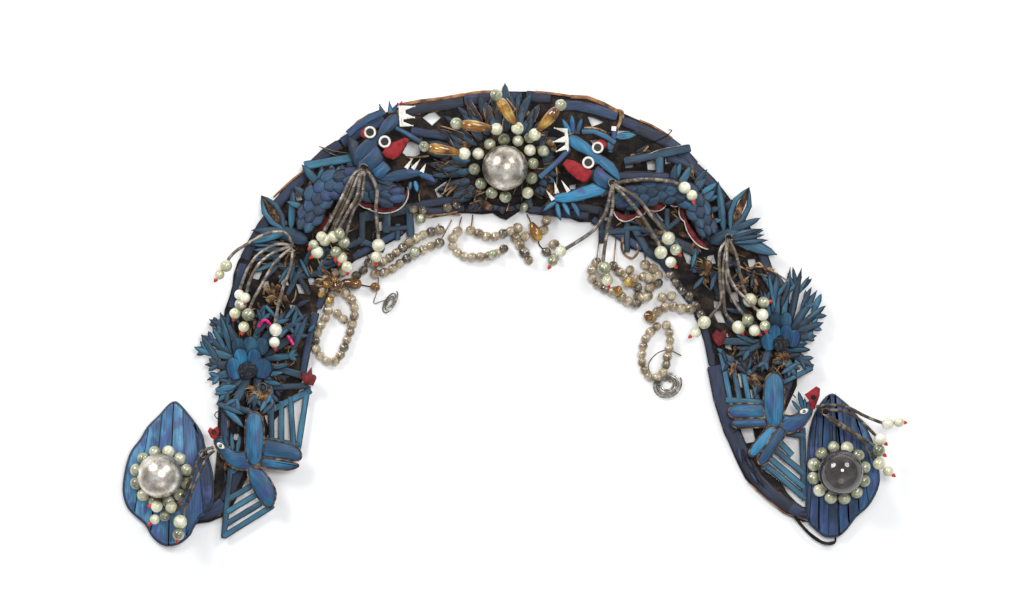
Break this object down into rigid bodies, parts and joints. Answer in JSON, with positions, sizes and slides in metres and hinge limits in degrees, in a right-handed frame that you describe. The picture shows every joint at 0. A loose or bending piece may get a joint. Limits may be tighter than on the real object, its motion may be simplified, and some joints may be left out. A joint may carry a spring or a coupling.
{
  "type": "kingfisher feather headdress",
  "caption": "Arched openwork diadem of kingfisher-blue feathered card with dragons, birds, lotus flowers, glass balls, pearls on coil springs and strings of glass beads.",
  "frame": {"origin": "middle of the whole outline, on the surface that the back of the band rests on", "axes": "+X to the picture's right along the width, +Y towards the crown of the arch, +Z out of the front"},
  "size_m": [0.3522, 0.2094, 0.029],
  "materials": {
    "card": "dark card, matt",
    "feather": "kingfisher-blue feather strips glued on card",
    "dark_feather": "dark teal feather strips glued on card",
    "red": "red dyed card and silk",
    "white": "white paper",
    "pearl": "imitation pearl, satin gloss",
    "silvered_glass": "silvered glass, worn",
    "clear_glass": "smoky clear glass",
    "amber_glass": "amber glass",
    "smoky_glass": "smoky champagne glass",
    "wire": "dull grey-brown coil-spring wire"
  },
  "bodies": {
    "root": {"band": "card", "plaque_left": "feather", "plaque_right": "feather", "pearl_ring_left": "pearl", "pearl_ring_right": "pearl", "pearl_ring_centre": "pearl", "ball_left": "silvered_glass", "ball_right": "clear_glass", "ball_centre": "silvered_glass", "crown_leaves": "dark_feather", "ray_lower_left": "amber_glass", "ray_upper_left": "amber_glass", "ray_top": "amber_glass", "ray_right": "amber_glass", "dragon_left_body": "feather", "dragon_right_body": "feather", "dragon_left_tail": "feather", "dragon_right_tail": "feather", "dragon_left_belly": "red", "dragon_right_belly": "red", "dragon_left_head": "feather", "dragon_right_head": "feather", "dragon_left_teeth": "white", "dragon_right_teeth": "white", "dragon_left_tongue": "red", "dragon_right_tongue": "red", "fret_left": "dark_feather", "fret_right": "dark_feather", "leaves_left": "dark_feather", "leaves_right": "dark_feather", "lotus_left": "feather", "lotus_right": "feather", "bird_left": "feather", "bird_right": "feather", "bird_left_tail": "dark_feather", "bird_right_tail": "dark_feather", "comb_left": "red", "comb_right": "red", "springs_left_tail": "wire", "springs_left_head": "wire", "springs_left_plaque": "wire", "springs_right_head": "wire", "springs_right_tail": "wire", "springs_right_bird": "wire", "beads_left_upper": "smoky_glass", "beads_left_lower": "smoky_glass", "beads_left_loop": "smoky_glass", "beads_left_amber": "amber_glass", "beads_middle": "smoky_glass", "beads_middle_top": "smoky_glass", "beads_centre_drop": "amber_glass", "beads_right_loop": "smoky_glass", "beads_right_cross": "smoky_glass", "beads_right_rosette": "smoky_glass", "beads_right_amber": "smoky_glass", "beads_right_hanging": "smoky_glass", "hook": "wire"}
  },
  "joints": []
}
